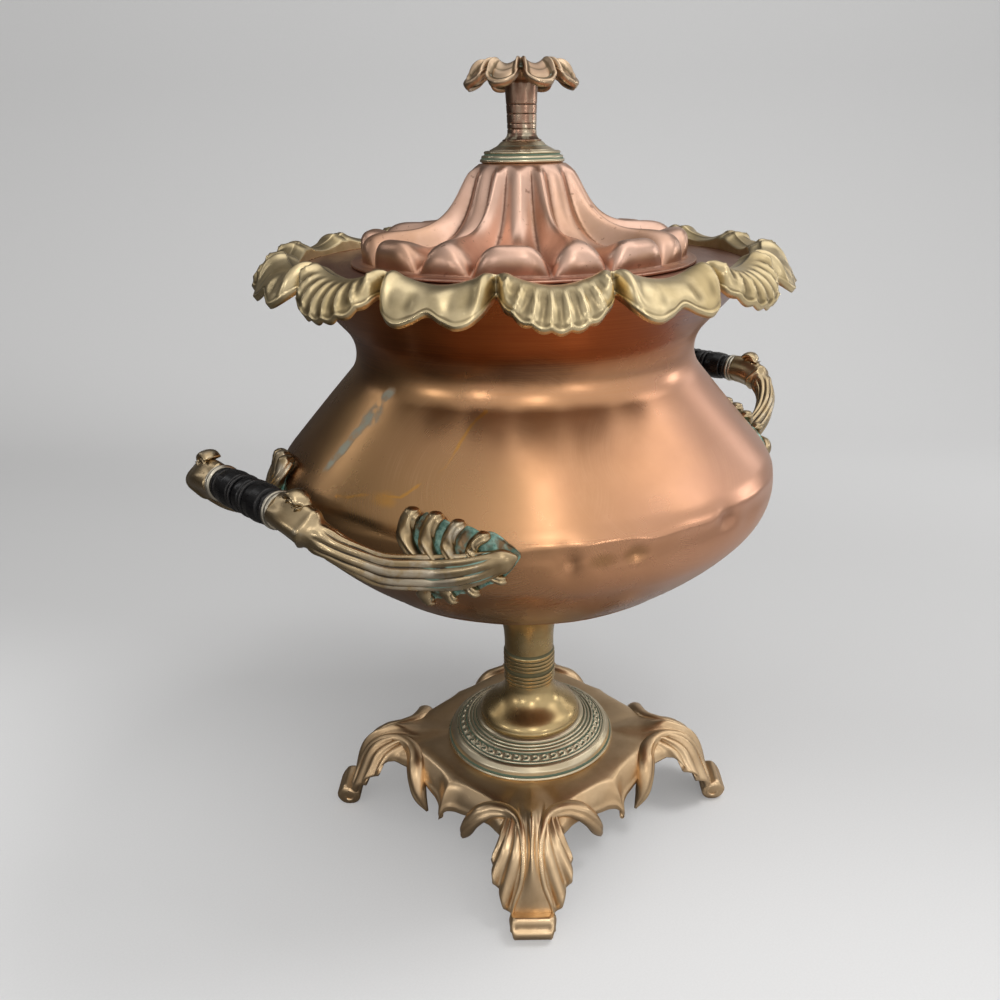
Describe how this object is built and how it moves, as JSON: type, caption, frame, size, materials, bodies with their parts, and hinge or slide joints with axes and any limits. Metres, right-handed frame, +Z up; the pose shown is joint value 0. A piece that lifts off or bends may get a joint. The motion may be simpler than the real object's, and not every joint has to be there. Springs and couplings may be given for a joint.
{
  "type": "samovar",
  "caption": "Footed table urn: squat bowl on a turned pedestal, frilled rim, fluted lift-off lid, side handles and a tap.",
  "frame": {"origin": "on the axis of the bowl, in the plane that the toes stand on", "axes": "+Z up along the axis, the tap points along -Y, the handles lie on +X and -X, the feet on the diagonals"},
  "size_m": [0.3532, 0.3365, 0.4309],
  "materials": {
    "copper": "worn satin, brush lines and dents",
    "copper_dark": "tarnished satin",
    "copper_lid": "worn satin",
    "brass_gold": "worn, copper toned",
    "brass_old": "dull, olive, verdigris in the hollows",
    "brass_arm": "dark hollows, worn ribs, verdigris",
    "iron": "dark, forged",
    "ebonised_wood": "black, polished",
    "leather": "oiled"
  },
  "bodies": {
    "stand_and_bowl": {"base_casting": "brass_gold", "base_collar": "brass_old", "pedestal_bell": "brass_gold", "stem_sleeve": "brass_gold", "bowl_boss": "brass_gold", "tie_rod": "iron", "tie_washer": "iron", "tie_nut": "iron", "bowl_bottom": "copper", "bowl_lower": "copper", "bowl_upper": "copper", "rim_plate": "copper_dark", "rim_frill": "brass_old", "left_arm_front": "brass_arm", "left_arm_back": "brass_arm", "right_arm_front": "brass_arm", "right_arm_back": "brass_arm", "left_grip": "ebonised_wood", "right_grip": "ebonised_wood", "left_ferrules": "brass_old", "right_ferrules": "brass_old", "left_grip_rod": "iron", "right_grip_rod": "iron", "handle_studs": "brass_gold", "handle_washers": "brass_gold", "handle_nuts": "brass_gold", "heater_tube": "copper_dark", "tap_escutcheon": "brass_gold", "tap_gasket": "leather", "tap_body": "brass_gold", "tap_saddle": "brass_gold", "tap_back_nut": "brass_gold"},
    "lid": {"lid_shell": "copper_lid", "lid_bezel": "copper_lid", "lid_collar": "brass_old", "finial_stem": "brass_old", "finial_flower": "brass_old", "finial_rod": "iron", "finial_washer": "brass_gold", "finial_nut": "brass_gold"},
    "tap_key": {"tap_plug": "brass_gold", "tap_lever": "brass_gold", "lever_knob": "ebonised_wood", "plug_washer": "brass_gold", "plug_nut": "brass_gold"},
    "heater_cover": {"heater_cap": "copper_dark", "cap_knob": "brass_gold"},
    "heater_slug": {"heater_iron": "iron"}
  },
  "joints": [
    {"name": "lid_lift", "type": "slide", "parent": "stand_and_bowl", "child": "lid", "axis": [0, 0, 1], "range_m": [0, 0.12]},
    {"name": "cap_lift", "type": "slide", "parent": "stand_and_bowl", "child": "heater_cover", "axis": [0, 0, 1], "range_m": [0, 0.04]},
    {"name": "iron_lift", "type": "slide", "parent": "stand_and_bowl", "child": "heater_slug", "axis": [0, 0, 1], "range_m": [0, 0.03]},
    {"name": "tap_turn", "type": "hinge", "parent": "stand_and_bowl", "child": "tap_key", "pos_m": [0, -0.158, 0.1894], "axis": [0, 0, 1], "range_deg": [-90, 0]}
  ]
}
